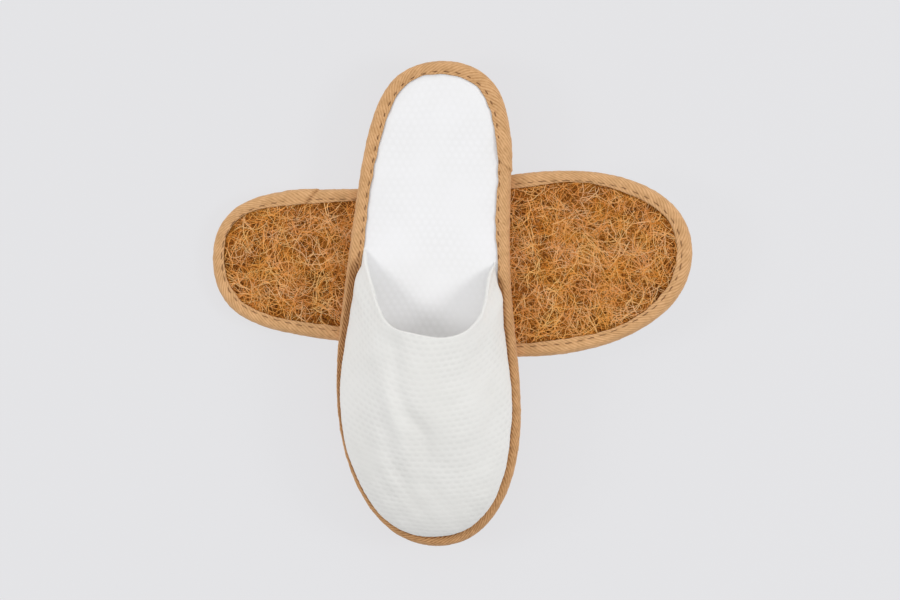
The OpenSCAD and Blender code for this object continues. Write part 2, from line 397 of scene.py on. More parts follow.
def fibre_material():
    """Coir fibre: each has its own tone, from dark brown to pale gold, with streaks along it. Deeper layers
    are painted darker as shade.
    """
    fibre = Surface("coir_fibre", 0.7, specular=0.12)
    vector, (own_tone, _, _) = fibre.fabric()
    streak = fibre.noise(vector, 1.3, 2.0)[0]
    uneven = fibre.math("MULTIPLY", fibre.math("SUBTRACT", streak, 0.5), 0.3)
    tone = fibre.ramp(fibre.math("ADD", own_tone, uneven), [
        (0.0, (0.08, 0.020, 0.003)), (0.25, (0.34, 0.100, 0.013)), (0.5, (0.72, 0.265, 0.042)),
        (0.75, (0.97, 0.455, 0.115)), (1.0, (1.0, 0.64, 0.28)),
    ])
    return fibre.finish(fibre.tinted(tone, 12, (1.0, 0.95, 0.72), (1.0, 0.98, 1.12)), streak, 0.4, 0.08)


def felt_material():
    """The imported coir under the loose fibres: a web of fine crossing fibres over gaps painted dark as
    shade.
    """
    felt = Surface("coir_felt", 0.9, specular=0.05)
    vector, _ = felt.fabric()
    bent = felt.add("ShaderNodeVectorMath", operation="MULTIPLY_ADD")
    bent.inputs[1].default_value = (3.5, 3.5, 3.5)
    felt.links.new(felt.noise(vector, 0.35, 2.0)[1], bent.inputs[0])
    felt.links.new(vector, bent.inputs[2])
    web = None
    for scale in (0.55, 0.8, 1.15):
        cell = felt.add("ShaderNodeTexVoronoi", feature="DISTANCE_TO_EDGE", Scale=scale)
        felt.links.new(bent.outputs[0], cell.inputs["Vector"])
        line = felt.math("MULTIPLY", cell.outputs["Distance"], 5.0)
        web = line if web is None else felt.math("MINIMUM", web, line)
    # Painted shade: the gaps between the web's fibres are nearly black.
    colour = felt.ramp(web, [
        (0.0, (0.50, 0.20, 0.035)), (0.3, (0.27, 0.09, 0.012)), (0.8, (0.07, 0.02, 0.003)),
    ])
    return felt.finish(colour, felt.math("SUBTRACT", 1.0, web), 0.8, 0.3)


def plain_material(name, colour, roughness, grain_mm, depth_mm, sheen=0.0, glow=0.0):
    """An even fabric, foam or thread with a fine grain, and a painted glow that stands in for light coming
    through it.
    """
    plain = Surface(name, roughness, sheen=sheen, specular=0.2)
    grain = plain.cloud(grain_mm)
    # Painted light: the glow lights the cloth in its own colour.
    plain.inputs["Emission Color"].default_value = (*colour, 1)
    plain.inputs["Emission Strength"].default_value = glow
    tone = plain.ramp(grain, [(0.3, tuple(0.82 * c for c in colour)), (0.7, colour)])
    return plain.finish(tone, grain, 0.6, depth_mm)


UPPER_CLOTH = waffle_material("waffle_upper", (0.815, 0.81, 0.787), (0.86, 0.855, 0.832), 0.55)
INSOLE_CLOTH = waffle_material("waffle_insole", (0.915, 0.915, 0.925), (0.95, 0.95, 0.965), 0.5)
TAPE_CLOTH = tape_material()
COIR_FIBRE = fibre_material()
COIR_FELT = felt_material()
# The lining's glow is painted light, for light that comes through the upper.
LINING_CLOTH = plain_material("lining", (0.84, 0.81, 0.77), 0.9, 0.9, 0.12, sheen=0.1, glow=0.15)
FOAM = plain_material("foam", (0.88, 0.86, 0.80), 0.85, 0.8, 0.15)
# Painted shade: the thread is dark brown so that the stitches read as the shaded dimples along the seam.
THREAD = plain_material("thread", (0.24, 0.115, 0.05), 0.7, 0.35, 0.08)


# ---- binding tape
TAPE_COLUMNS = 31
TAPE_MID_INSET = 4.0
# The twill's ridges: their spacing along the sole, the mesh's steps for each, and their slant.
RIDGE_MM = 2.85
RIDGE_STEPS = 8
TWILL_SLOPE = 1.6
RIDGE_H = 0.11
STITCH_MM = 7.0
TOP_SEAM_SHIFT = 0.5
# How far the soft edge reaches in, and how square its bend is: 2 is an ellipse.
CORNER_MM = 3.4
CORNER_POWER = 2.5
# The seam's dip into the tape: half its width, its least depth, and how much deeper it is under a stitch.
SEAM_HALF_WIDTH = 0.6
SEAM_DIP = (0.14, 0.3)
# Height and size of the noise that makes the legs uneven in width and the face in height.
TAPE_WANDER = ((0.5, 60), (0.15, 9))
TAPE_PUCKER = ((0.09, 5.5), (0.05, 16))
# The edge puffs out a little, as height, place and half width, and the selvedges are pressed down.
PUFF = (0.30, 3.2, 1.7)
SELVEDGE_DIP = 0.32
# The tape's end laps over its start: how far from the heel tip, how long, how slanted, how high, and how
# deep the groove along its cut is, which also scales the painted shade in that groove.
LAP_START = 59.0
LAP_MM = 23.0
LAP_SLANT = 0.9
LAP_H = 0.6
LAP_CUT_GROOVE = {"left": 0.6, "right": 0.15}
# The tape's shade: its middle, how much painted light lightens the ridges, and how much painted shade
# darkens the seam's groove and the groove along the lap's cut.
SHADE, RIDGE_SHADE, SEAM_SHADE, CUT_GROOVE_SHADE = 0.45, 0.36, 0.35, 0.8
# Painted shade on the tape beside the upper: less towards the rim, more in the crease under the bulge.
BESIDE_SHADE, RIM_SHADE, CREASE_SHADE = 0.23, 0.10, 0.32


def tape_section(w):
    """Inset, z and path across the tape: flat legs and a soft edge, from the upper selvedge to the lower."""
    half = SOLE_T / 2
    leg = TAPE_LEG - CORNER_MM
    bend = 0.5 * math.pi * math.sqrt((CORNER_MM**2 + half**2) / 2)
    path = w * 2 * (leg + bend)
    folded = np.where(path > leg + bend, 2 * (leg + bend) - path, path)
    angle = np.clip((folded - leg) / bend, 0, 1) * math.pi / 2
    power = 2 / CORNER_POWER
    inset = np.where(folded < leg, TAPE_LEG - folded, CORNER_MM * (1 - np.sin(angle) ** power))
    rise = np.where(folded < leg, half, half * np.cos(angle) ** power)
    top = path <= leg + bend
    return inset, half + np.where(top, rise, -rise), path


def seam_pitch():
    """The stitch length that divides the seam evenly, and how many stitches there are."""
    length = arc_table(SEAM_INSET)[1][-1]
    count = round(length / STITCH_MM)
    return length / count, count


def seam_dip(inset, t, top):
    """How deep the seam pulls the tape in, deepest under each stitch."""
    fine, along = arc_table(SEAM_INSET)
    needle = 0.5 - 0.5 * np.cos(math.tau * np.interp(t, fine, along) / seam_pitch()[0])
    seam = SEAM_INSET + TOP_SEAM_SHIFT * top
    return bell(inset, seam, SEAM_HALF_WIDTH) * (SEAM_DIP[0] + SEAM_DIP[1] * needle**2)


def painted_shade_beside_upper(inset, t, z):
    """Painted shade on the tape's top side beside the upper, most of all in the crease under its bulge."""
    big_s = (TOE_KEY - t) / (TOE_KEY - MEDIAL_CORNER)
    little_s = (t - TOE_KEY) / (LATERAL_CORNER - TOE_KEY)
    from_toe = np.maximum(big_s, little_s)
    big, little = bulges(from_toe)
    overhang = np.maximum(big + (little - big) * smoothstep(-0.2, 0.2, little_s), 0)
    crease = smoothstep(-1.6, 0.2, inset - (WALL_INSET - overhang))
    beside_upper = (1 - smoothstep(0.93, 1.03, from_toe)) * smoothstep(0.45, 0.6, z / SOLE_T)
    return beside_upper * (BESIDE_SHADE - RIM_SHADE * from_toe + CREASE_SHADE * crease)


def make_tape(side, seed):
    """The binding tape, whose rows follow its slanted twill ridges all round the sole."""
    fine, table = arc_table(TAPE_MID_INSET)
    length = table[-1]
    n = round(length / RIDGE_MM) * RIDGE_STEPS
    inset, z, path = tape_section(np.linspace(0, 1, TAPE_COLUMNS))
    along = (np.arange(n)[:, None] / n * length + TWILL_SLOPE * path[None, :]) % length
    t = np.interp(along, table, fine)
    inset = np.broadcast_to(inset, along.shape).copy()
    z = np.broadcast_to(z, along.shape).copy()
    path = np.broadcast_to(path, along.shape)
    middle = edge(t, inset)
    noise_x, noise_y = middle[..., 0] + 2 * z, middle[..., 1] - 2 * z
    inset = inset + mixed_waves(noise_x, noise_y, TAPE_WANDER, seed) * smoothstep(2.2, 6.5, inset)
    # The section's normal comes from neighbouring columns.
    di, dz = np.gradient(inset, axis=1), np.gradient(z, axis=1)
    size = np.hypot(di, dz)
    normal_i, normal_z = dz / size, -di / size
    relief = (0.5 - 0.5 * np.cos(math.tau * np.arange(n)[:, None] / RIDGE_STEPS)) ** 0.8
    pucker = mixed_waves(noise_x, noise_y, TAPE_PUCKER, seed + 2)
    # The lap rises softly where the tape's start lies under it, and stops at the end's slanted cut.
    from_lap = along - LAP_START
    cut = LAP_MM - LAP_SLANT * inset
    lap = smoothstep(0, 6, from_lap) * (1 - smoothstep(cut, cut + 0.4, from_lap))
    # A shallow groove along the slanted cut. The tone below paints shade into it.
    cut_groove = LAP_CUT_GROOVE[side] * bell(from_lap - cut, 0.6, 0.75) * smoothstep(0, 1, lap + from_lap)
    dip = seam_dip(inset, t, z > SOLE_T / 2)
    puff = PUFF[0] * bell(inset, PUFF[1], PUFF[2])
    from_selvedge = np.minimum(path, path.max() - path)
    lift = RIDGE_H * (relief - 0.5) + pucker + puff + LAP_H * lap - 0.25 * cut_groove - dip
    lift = lift - SELVEDGE_DIP * bell(from_selvedge, 0, 0.5)
    inset = inset + normal_i * lift
    z = z + normal_z * lift
    outer = np.concatenate([edge(t, inset), z[..., None]], -1)
    # The inner face lies close to the sole's layers, on a coarser grid.
    columns = np.linspace(0, TAPE_COLUMNS - 1, 9).round().astype(int)
    coarse_t, coarse_inset, coarse_z = (values[::RIDGE_STEPS][:, columns] for values in (t, inset, z))
    round_edge = np.abs(coarse_z - SOLE_T / 2) < 4
    back_inset = coarse_inset + np.where(round_edge, 0.75, 0.04)
    back_z = np.clip(coarse_z, TAPE_T - 0.1, COVER_TOP + 0.1)
    inner = np.concatenate([edge(coarse_t, back_inset), back_z[..., None]], -1)
    n_back = n // RIDGE_STEPS
    a = np.arange(n * TAPE_COLUMNS).reshape(n, TAPE_COLUMNS)
    b = n * TAPE_COLUMNS + np.arange(n_back * len(columns)).reshape(n_back, len(columns))
    ring_a, ring_b = np.append(np.arange(n), 0), np.append(np.arange(n_back), 0)
    faces = [
        grid_quads(n, TAPE_COLUMNS, wrap_rows=True)[:, ::-1],
        grid_quads(n_back, len(columns), wrap_rows=True, start=n * TAPE_COLUMNS),
        stitch(list(a[ring_a, 0]), list(b[ring_b, 0])),
        stitch(list(a[ring_a, -1]), list(b[ring_b, -1]))[:, ::-1],
    ]
    points = np.concatenate([outer.reshape(-1, 3), inner.reshape(-1, 3)])
    yarns = 0.07 * waves(noise_x, noise_y, 1.9, seed + 4, 24)
    # Painted light and shade in the tape's tone: lighter on the ridges, darker in the seam's groove, in the
    # groove along the lap's cut and beside the upper.
    shade = SHADE + RIDGE_SHADE * relief + yarns - SEAM_SHADE * dip - CUT_GROOVE_SHADE * cut_groove
    shade = shade - painted_shade_beside_upper(inset, t, z)
    fabric = np.stack([along, path, np.clip(shade, 0, 1)], -1).reshape(-1, 3)
    piece = make_mesh(f"{side}_twill_binding", side, points, faces, TAPE_CLOTH, fabric)
    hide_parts(f"{side}_binding_tape")


# ---- stitches
# Thread radius, and half of each visible stitch as a share of the stitch length, from and to.
NEEDLE_R, BOBBIN_R = 0.21, 0.17
NEEDLE_REACH, BOBBIN_REACH = (0.20, 0.30), (0.34, 0.46)


def tubes(paths, radii, sides):
    """Points and faces of round tubes, closed at both ends, along paths with a radius at each point."""
    count, steps, _ = paths.shape
    ahead = np.gradient(paths, axis=1)
    ahead /= np.maximum(np.linalg.norm(ahead, axis=-1, keepdims=True), 1e-9)
    across = np.cross(ahead, np.array([0.0, 0.0, 1.0]))
    across /= np.maximum(np.linalg.norm(across, axis=-1, keepdims=True), 1e-9)
    up = np.cross(across, ahead)
    angle = np.arange(sides) / sides * math.tau
    ring = across[:, :, None] * np.cos(angle)[:, None] + up[:, :, None] * np.sin(angle)[:, None]
    points = paths[:, :, None] + ring * radii[:, :, None, None]
    base = (np.arange(count) * steps * sides)[:, None, None]
    i, j = np.arange(steps - 1)[None, :, None], np.arange(sides)[None, None, :]
    a, b = base + i * sides + j, base + i * sides + (j + 1) % sides
    quads = np.stack([a, b, b + sides, a + sides], -1).reshape(-1, 4)
    first = base[:, 0] + np.arange(sides)[None, :]
    caps = [first[:, ::-1], first + (steps - 1) * sides]
    return points.reshape(-1, 3), [quads] + caps


def make_stitches(side, seed):
    """Needle thread on the insole side and bobbin thread on the coir side, one arched stitch at a time."""
    rng = np.random.default_rng(seed)
    pitch, count = seam_pitch()
    fine, table = arc_table(SEAM_INSET)
    u = np.linspace(-1, 1, 9)
    paths, radii = [], []
    for top in (True, False):
        middle = (np.arange(count) + 0.5) * pitch + rng.normal(0, 0.1, count)
        reach = rng.uniform(*NEEDLE_REACH, count) if top else rng.uniform(*BOBBIN_REACH, count)
        along = middle[:, None] + u[None, :] * reach[:, None] * pitch
        wander = rng.normal(0, 0.1, count)[:, None] + rng.normal(0, 0.06, count)[:, None] * u[None, :]
        seam = SEAM_INSET + TOP_SEAM_SHIFT * top
        xy = edge(np.interp(along % table[-1], table, fine), seam + wander)
        sink = 0.02 + 0.6 * np.abs(u) ** 3
        z = (SOLE_T - sink if top else sink) + np.zeros_like(along)
        paths.append(np.concatenate([xy, z[..., None]], -1))
        taper = np.sqrt(np.maximum(1 - np.abs(u) ** 4, 0.08))
        radii.append((NEEDLE_R if top else BOBBIN_R) * taper + np.zeros_like(along))
    points, faces = tubes(np.concatenate(paths), np.concatenate(radii), 8)
    piece = make_mesh(f"{side}_seam_stitches", side, points, faces, THREAD)
    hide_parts(f"{side}_seam_thread")


# ---- sole layers
# The back of a sheet has one cell for this many of its face's cells, both ways.
BACK_STEP = 8


def plate_grid(inset, rows, columns):
    """Grid of xy points that fills the outline at an inset, in rows across the sole from heel to toe."""
    fine = np.linspace(0, KEY_COUNT, 3601)
    ring = edge(fine, inset)
    ring = np.roll(ring[:-1], -ring[:, 1].argmax(), axis=0)
    toe = ring[:, 1].argmin()
    right, left = ring[:toe + 1], np.concatenate([ring[toe:], ring[:1]])[::-1]
    along = np.concatenate([[0], np.cumsum(np.linalg.norm(np.diff(right, axis=0), axis=1))])
    y = np.interp(np.linspace(0.5, along[-1] - 0.5, rows), along, right[:, 1])
    x_right = np.interp(-y, -right[:, 1], right[:, 0])
    x_left = np.interp(-y, -left[:, 1], left[:, 0])
    f = np.linspace(0, 1, columns)[None, :]
    return np.stack([x_left[:, None] * (1 - f) + x_right[:, None] * f, y[:, None] + 0 * f], -1)


def inset_of(xy):
    """How far points are inside the outline, in millimetres."""
    t = np.linspace(0, KEY_COUNT, 1441)[:-1]
    ring, normals = edge(t, 0), outward(t)
    tree = KDTree(len(ring))
    for i, p in enumerate(ring):
        tree.insert((p[0], p[1], 0), i)
    tree.balance()
    flat = xy.reshape(-1, 2)
    near = np.array([tree.find((p[0], p[1], 0))[1] for p in flat])
    return (-(flat - ring[near]) * normals[near]).sum(-1).reshape(xy.shape[:-1])


def waffle(u, v, across, along):
    """Relief from 0 in the pits to 1 on the ridges of a weave with short, wide pits in staggered rows."""
    row = np.floor(v / along + 0.5)
    pit_u = 0.5 + 0.5 * np.cos(math.tau * (u / across + row / 2))
    pit_v = 0.5 + 0.5 * np.cos(math.tau * (v / along - row))
    return 1 - pit_u**0.5 * pit_v**1.3


def diamond(u, v, across, along):
    """Relief from 0 to 1 of a flatter weave: staggered diamonds with a faint rib along each row."""
    lattice = np.cos(math.tau * u / across) * np.cos(math.pi * v / along)
    return 0.5 + 0.35 * lattice + 0.15 * np.cos(math.tau * v / along)


INSOLE_INSET = 1.2
INSOLE_ROWS, INSOLE_COLUMNS = 521, 161
INSOLE_PIT_MM = 0.14
INSOLE_WEAVE_MM = (4.45, 3.95)
# Soft top of the insole: how high it stands off the tape's edge, and how fast it gets there.
INSOLE_CROWN_MM = 1.1
INSOLE_CROWN_RUN = 6.0


def make_insole(side, seed):
    """The insole cover, with its weave and its pressed-down margin along the tape."""
    xy = plate_grid(INSOLE_INSET, INSOLE_ROWS, INSOLE_COLUMNS)
    x, y = xy[..., 0], xy[..., 1]
    inset = upsample(inset_of(xy[::BACK_STEP, ::BACK_STEP]), BACK_STEP)
    u = x + 0.35 * waves(x, y, 30, seed)
    v = y + 0.35 * waves(x, y, 30, seed + 1)
    relief = diamond(u, v, *INSOLE_WEAVE_MM)
    free = smoothstep(7.6, 10.5, inset)
    strength = 0.8 + 0.2 * waves(x, y, 40, seed + 2)
    crown = INSOLE_CROWN_MM * (1 - np.exp(-np.maximum(inset - 7.8, 0) / INSOLE_CROWN_RUN))
    uneven = 0.14 * waves(x, y, 55, seed + 3)
    z = COVER_TOP - 0.42 + crown + free * (uneven + 0.1 + INSOLE_PIT_MM * strength * (relief - 1))
    outer = np.concatenate([xy, z[..., None]], -1)
    inner = outer[::BACK_STEP, ::BACK_STEP].copy()
    inner[..., 2] = CUSHION_TOP + 0.02
    points, faces = closed_grid(outer, inner)
    faces = [f[:, ::-1] for f in faces]
    fabric = np.stack([u, v, 1 - strength * (1 - relief)], -1).reshape(-1, 3)
    piece = make_mesh(f"{side}_waffle_insole", side, points, faces, INSOLE_CLOTH, fabric)
    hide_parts(f"{side}_insole_cover")


def upsample(coarse, k):
    """Linear upsampling of a grid by k steps per cell."""
    last_row, last_column = coarse.shape[0] - 1, coarse.shape[1] - 1
    rows = np.linspace(0, last_row, last_row * k + 1)
    columns = np.linspace(0, last_column, last_column * k + 1)
    i = np.minimum(rows.astype(int), last_row - 1)
    j = np.minimum(columns.astype(int), last_column - 1)
    a, b = (rows - i)[:, None], (columns - j)[None, :]
    near = (1 - b) * coarse[i][:, j] + b * coarse[i][:, j + 1]
    far = (1 - b) * coarse[i + 1][:, j] + b * coarse[i + 1][:, j + 1]
    return (1 - a) * near + a * far


# ---- coir
MAT_ROWS, MAT_COLUMNS = 281, 113
FIBRE_STEPS = 11
FIBRE_SIDES = 3
# Along the sole, each slipper presses the other's coir flat where they cross.
CROSSING = {"left": (-62.0, 78.0), "right": (-30.0, 84.0)}
# From the mat up to the loose top: z from and to, mean tone, usual length and radius, count, and the share
# of long pale strays. The mean tone is darker in deeper layers, as painted shade between the fibres.
FIBRE_LAYERS = [
    (1.5, 1.1, 0.12, 10.0, 0.17, 3200, 0.0),
    (1.25, 0.75, 0.31, 12.0, 0.18, 3200, 0.0),
    (0.85, 0.3, 0.56, 14.0, 0.18, 3200, 0.02),
    (0.55, 0.0, 0.87, 16.0, 0.20, 2500, 0.06),
]
# Height and size of the noise in the share of the places tried that get a fibre.
FIBRE_PATCHES = ((0.28, 12), (0.14, 5))
# Curl radius as middle, spread, least and most; kink angle and wave length from and to.
FIBRE_CURL = (18, 0.65, 3.6, 80)
FIBRE_KINK, FIBRE_WAVE_MM = (0.04, 0.4), (5, 12)
STRAY_LENGTH, STRAY_CURL, STRAY_KINK, STRAY_TONE = (20, 42), (18, 70), 0.12, 0.82


def loft_free(side, y):
    """1 where the coir may stand proud of the tape, 0 where the other slipper presses on it."""
    lo, hi = CROSSING[side]
    return 1 - smoothstep(lo - 10, lo, y) * (1 - smoothstep(hi, hi + 10, y))


def make_coir_mat(side, seed):
    """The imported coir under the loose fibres, lumpy inside the tape and flat under it."""
    xy = plate_grid(TAPE_T + 0.1, MAT_ROWS, MAT_COLUMNS)
    x, y = xy[..., 0], xy[..., 1]
    inset = upsample(inset_of(xy[::BACK_STEP, ::BACK_STEP]), BACK_STEP)
    free = smoothstep(7.5, 10, inset)
    lump = 0.45 * waves(x, y, 11, seed) + 0.3 * waves(x, y, 4, seed + 1, 24)
    z = 1.35 - free * np.clip(0.1 + 0.5 * lump, -0.9, 0.6)
    outer = np.concatenate([xy, z[..., None]], -1)
    inner = outer[::BACK_STEP, ::BACK_STEP].copy()
    inner[..., 2] = COIR_TOP - 0.02
    points, faces = closed_grid(outer, inner)
    piece = make_mesh(f"{side}_coir_mat", side, points, faces, COIR_FELT, fabric=points)
    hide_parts(f"{side}_outsole_mat")


def clipped_lognormal(rng, middle, spread, low, high, count):
    """Lognormal draws about a middle value, kept between low and high."""
    return np.clip(rng.lognormal(math.log(middle), spread, count), low, high)


def make_fibres(side, layer, seed):
    """One layer of curly fibres over the coir mat, as points, faces and the fabric attribute."""
    z_from, z_to, tone_mean, usual_length, usual_radius, count, stray_share = layer
    rng = np.random.default_rng(seed)
    tries = rng.uniform((-62, -143), (53, 143), (6 * count, 2))
    x, y = tries.T
    share = 0.66 + mixed_waves(x, y, FIBRE_PATCHES, seed + 1)
    wanted = (inset_of(tries) > 7.3) & (rng.uniform(0, 1, len(tries)) < share)
    start = tries[wanted][:count]
    n = len(start)
    stray = rng.uniform(0, 1, n) < stray_share
    stray_length = rng.uniform(*STRAY_LENGTH, n)
    length = np.where(stray, stray_length, clipped_lognormal(rng, usual_length, 0.4, 5, 30, n))
    stray_curl = rng.uniform(*STRAY_CURL, n)
    curl_radius = np.where(stray, stray_curl, clipped_lognormal(rng, *FIBRE_CURL, n))
    curl = rng.choice([-1, 1], n) / curl_radius
    kink = np.where(stray, STRAY_KINK, rng.uniform(*FIBRE_KINK, n))
    wave_mm = rng.uniform(*FIBRE_WAVE_MM, n)
    run = np.linspace(0, 1, FIBRE_STEPS)[None, :] * length[:, None]
    phase = rng.uniform(0, math.tau, n)[:, None]
    heading = rng.uniform(0, math.tau, n)[:, None] + run * curl[:, None]
    heading = heading + kink[:, None] * np.sin(math.tau * run / wave_mm[:, None] + phase)
    step = np.stack([np.cos(heading), np.sin(heading)], -1) * (length / (FIBRE_STEPS - 1))[:, None, None]
    xy = start[:, None] + np.cumsum(step, 1) - step.sum(1, keepdims=True) / 2
    inset = inset_of(xy)
    u = np.linspace(-1, 1, FIBRE_STEPS)[None, :]
    deep = z_from + (z_to - z_from) * rng.uniform(0, 1, n)[:, None]
    hump = rng.uniform(0.0, 0.5, n)[:, None] * (1 - u * u) - 0.25
    sway = rng.uniform(0.4, 1.4, n)[:, None] * u + rng.uniform(0, 1, n)[:, None]
    z = deep - hump - 0.22 * np.sin(math.tau * sway)
    # Fibres lie flat where the other slipper presses, tuck in behind the tape, and never sink far.
    z = np.maximum(z, 0.28 - 1.15 * loft_free(side, xy[..., 1]))
    z = np.where(inset < 8.9, np.maximum(z, 1.25 + 0.1 * (8.9 - inset)), z)
    z = np.minimum(z, 2.2)
    kept = (inset > 2.5).all(1)
    xy, z, start, stray = xy[kept], z[kept], start[kept], stray[kept]
    n = len(xy)
    thick = clipped_lognormal(rng, usual_radius, 0.3, 0.09, 0.38, n)[:, None]
    radii = thick * np.sqrt(np.maximum(1 - 0.8 * u**6, 0.1))
    points, faces = tubes(np.concatenate([xy, z[..., None]], -1), radii, FIBRE_SIDES)
    # Each fibre's tone scatters about its layer's mean, which is painted darker deeper down as shade.
    tone = rng.normal(tone_mean, 0.19, n) + 0.06 * waves(start[:, 0], start[:, 1], 22, seed + 3)
    tone = np.clip(np.where(stray, STRAY_TONE, tone), 0.03, 1)
    each = FIBRE_STEPS * FIBRE_SIDES
    along = np.tile(np.repeat(np.arange(FIBRE_STEPS), FIBRE_SIDES), n) * 1.2
    strand = np.repeat(rng.uniform(0, 100, n), each)
    return points, faces, np.stack([np.repeat(tone, each), along, strand], -1)


def make_coir(side, seed):
    """The outsole: its packed mat, then the layers of loose fibres."""
    make_coir_mat(side, seed)
    for k, layer in enumerate(FIBRE_LAYERS):
        points, faces, fabric = make_fibres(side, layer, seed + 10 * (k + 1))
        piece = make_mesh(f"{side}_coir_fibres_{k + 1}", side, points, faces, COIR_FIBRE, fabric)
        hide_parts(f"{side}_outsole_mat")


# ---- upper
UPPER_ROWS, UPPER_COLUMNS = 281, 305
DENSE_COLUMNS = 721
LAYER_STEP = 4
SIDE_POWER = 0.86
THROAT_POWER = 1.0
LEAD_POWER = 1.5
LEAN_RATE = 1.8
BULGE_START = 1.2
BULGE_HEIGHT = 30.0
# Shares of the bulge from the toe (0) to the rim (1), on the big-toe side and on the little-toe side.
BULGE_SHARES = (
    [(0, 0.45), (0.8, 0.76), (0.95, 0.76), (1, -0.7)],
    [(0, 0.45), (0.7, 0.85), (0.88, 0.66), (0.95, 0.66), (1, 0.1)],
)
# The throat's rim is cut back at both sides: how far, the middle of the cut as a share of the way over the
# crown from the big-toe side, and its half width. Its lowest point is pulled aside and back.
RIM_CUTS = ((3.5, 0.17, 0.16), (8.5, 0.86, 0.18))
NOTCH_MM = (3.0, 1.5)
THROAT_START = 0.7
SQUASH_SOFTNESS = 2.5
SHELL_T = 0.9
PADDING_T = 1.2
LINING_T = 0.6
LAYER_GAP = 0.02
RIM_R = 1.1
# About how far apart the columns are along the rim.
RIM_COLUMN_MM = 0.47
RIM_STEPS = 12
HEM_STEPS = 12
PIT_MM = 0.17
WAFFLE_MM = (4.9, 3.3)
CLOTH_ABOVE_FLOOR = 0.05


def bulges(s):
    """How far the upper bulges out on the big-toe and the little-toe side, from toe (0) to rim (1)."""
    return BIG_TOE_BULGE * eased(s, BULGE_SHARES[0]), LITTLE_TOE_BULGE * eased(s, BULGE_SHARES[1])


def squash_ceiling(x, y):
    """The height in the slipper's frame at which the floor stops the squashed left upper."""
    from_edge = SOLE_LENGTH / 2 - EDGE_R - x * math.sin(LEFT_YAW) - y * math.cos(LEFT_YAW)
    return SOLE_T + from_edge * math.tan(TILT)


def upper_base(top, squashed):
    """Smooth outer skin of the upper as a grid, as in the CAD model.

    Rows go from the toe to the throat, and evenly spaced columns from the big-toe side over the crown. Also
    gives the cloth's millimetres across and along."""
    s = np.linspace(0.004, 1, UPPER_ROWS)[:, None]
    a = np.linspace(0, math.pi, DENSE_COLUMNS)[None, :]
    crown_column = DENSE_COLUMNS // 2
    medial_t = TOE_KEY + (MEDIAL_CORNER - TOE_KEY) * s
    lateral_t = TOE_KEY + (LATERAL_CORNER - TOE_KEY) * s
    medial, lateral = edge(medial_t, WALL_INSET), edge(lateral_t, WALL_INSET)
    side = (1 - np.cos(a)) / 2
    at_throat = smoothstep(THROAT_START, 1, s)
    power = SIDE_POWER + (THROAT_POWER - SIDE_POWER) * at_throat
    across = np.sign(np.cos(a)) * np.abs(np.cos(a)) ** power
    up = np.sin(a) ** power
    height = top * np.sin(s * math.pi / 2) * up
    out = outward(medial_t + (lateral_t - medial_t) * side)
    big, little = bulges(s)
    rise = np.clip((height - BULGE_START) / BULGE_HEIGHT, 0, 1)
    # 27 / 4 brings the highest point of rise * (1 - rise)**2 to 1.
    swell = (big + (little - big) * side) * 27 / 4 * rise * (1 - rise) ** 2
    xy = (medial + lateral) / 2 + (medial - lateral) / 2 * across[..., None] + out * swell[..., None]
    notch = bell(side, 0.45, 0.2) * smoothstep(0.75, 1, s)
    cut = sum(depth * bell(side, middle, half_width) for depth, middle, half_width in RIM_CUTS)
    cut = cut * np.sqrt(up) * at_throat
    lean = CROWN_LEAN * s * np.sin(math.pi / 2 * np.minimum(1, LEAN_RATE * up))
    x = xy[..., 0] + lean + NOTCH_MM[0] * notch
    y = xy[..., 1] - THROAT_DEPTH * s**LEAD_POWER * up - NOTCH_MM[1] * notch - cut
    z = COVER_TOP + height
    if squashed:
        floor = squash_ceiling(x, y)
        d = np.clip((z - floor) / SQUASH_SOFTNESS, -1, 1)
        softened = z - SQUASH_SOFTNESS * (d + 1) ** 2 / 4
        z = np.where(d >= 1, floor, np.where(d <= -1, z, softened))
    # The columns are spaced evenly along each row.
    dense = np.stack([x, y, z], -1)
    gaps = np.linalg.norm(np.diff(dense, axis=1), axis=-1)
    along = np.concatenate([np.zeros((len(s), 1)), np.cumsum(gaps, 1)], 1)
    grid = np.empty((UPPER_ROWS, UPPER_COLUMNS, 3))
    for i in range(UPPER_ROWS):
        want = np.linspace(0, along[i, -1], UPPER_COLUMNS)
        for k in range(3):
            grid[i, :, k] = np.interp(want, along[i], dense[i, :, k])
    across_mm = np.linspace(0, 1, UPPER_COLUMNS)[None, :] * along[:, -1:] - along[:, crown_column, None]
    ridge = dense[:, crown_column]
    run = np.concatenate([[0], np.cumsum(np.linalg.norm(np.diff(ridge, axis=0), axis=1))])
    front = ridge[:, 1].argmin()
    past_throat = np.maximum(grid[..., 1] - ridge[:, 1].max(), 0)
    along_mm = np.interp(grid[..., 1], ridge[front:, 1], run[front:]) + past_throat
    # The cloth's rows bend up along both sides, more so near the throat.
    bend = 0.003 + 0.009 * np.clip(along_mm / run[-1], 0, 1) ** 2
    return grid, across_mm, along_mm - bend * across_mm**2 / (1 + 1.2 * bend * np.abs(across_mm))


def distance_to_line(x, y, line):
    """Distance to a line of points, and how far along it as a share."""
    best = np.full(x.shape, 1e9)
    share = np.zeros(x.shape)
    parts = len(line) - 1
    for k in range(parts):
        a, b = np.array(line[k], float), np.array(line[k + 1], float)
        d = b - a
        u = np.clip(((x - a[0]) * d[0] + (y - a[1]) * d[1]) / (d @ d), 0, 1)
        r = np.hypot(x - a[0] - u * d[0], y - a[1] - u * d[1])
        share = np.where(r < best, (k + u) / parts, share)
        best = np.minimum(best, r)
    return best, share


